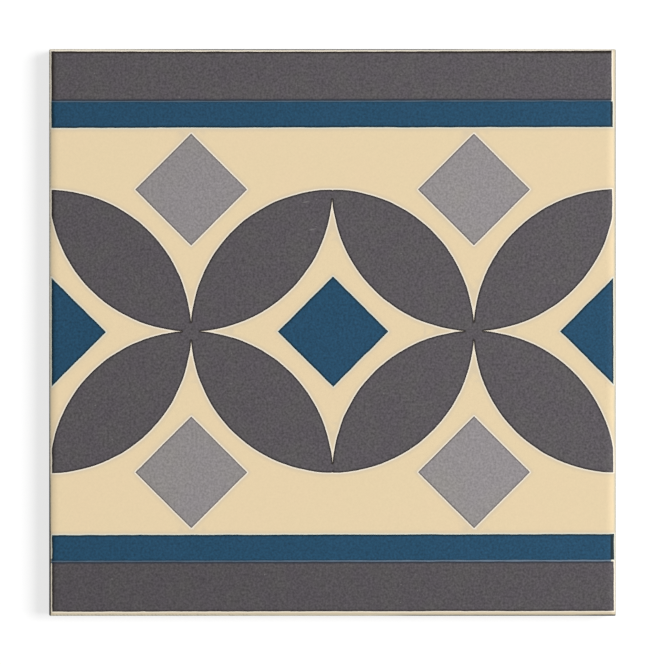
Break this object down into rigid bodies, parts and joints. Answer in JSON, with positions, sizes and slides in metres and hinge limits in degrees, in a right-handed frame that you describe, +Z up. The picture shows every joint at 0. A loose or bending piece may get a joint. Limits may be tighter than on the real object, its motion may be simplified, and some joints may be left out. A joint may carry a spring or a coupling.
{
  "type": "floor tile",
  "caption": "Square glazed floor tile with a keyed back, cushioned edges and a printed border figure of overlapping circles and diamonds between stripes.",
  "frame": {"origin": "middle of the keyed back, on the plane of its rim and ribs, where the tile lies on the floor", "axes": "+Z up out of the glazed face; +Y towards the figure's upper stripes as the picture shows it; +X to the right"},
  "size_m": [0.2, 0.2, 0.0085],
  "materials": {
    "glazed_stoneware": "satin cream ground glaze with printed charcoal, blue and light grey glazes; unglazed back"
  },
  "bodies": {
    "root": {"floor_tile": "glazed_stoneware"}
  },
  "joints": []
}
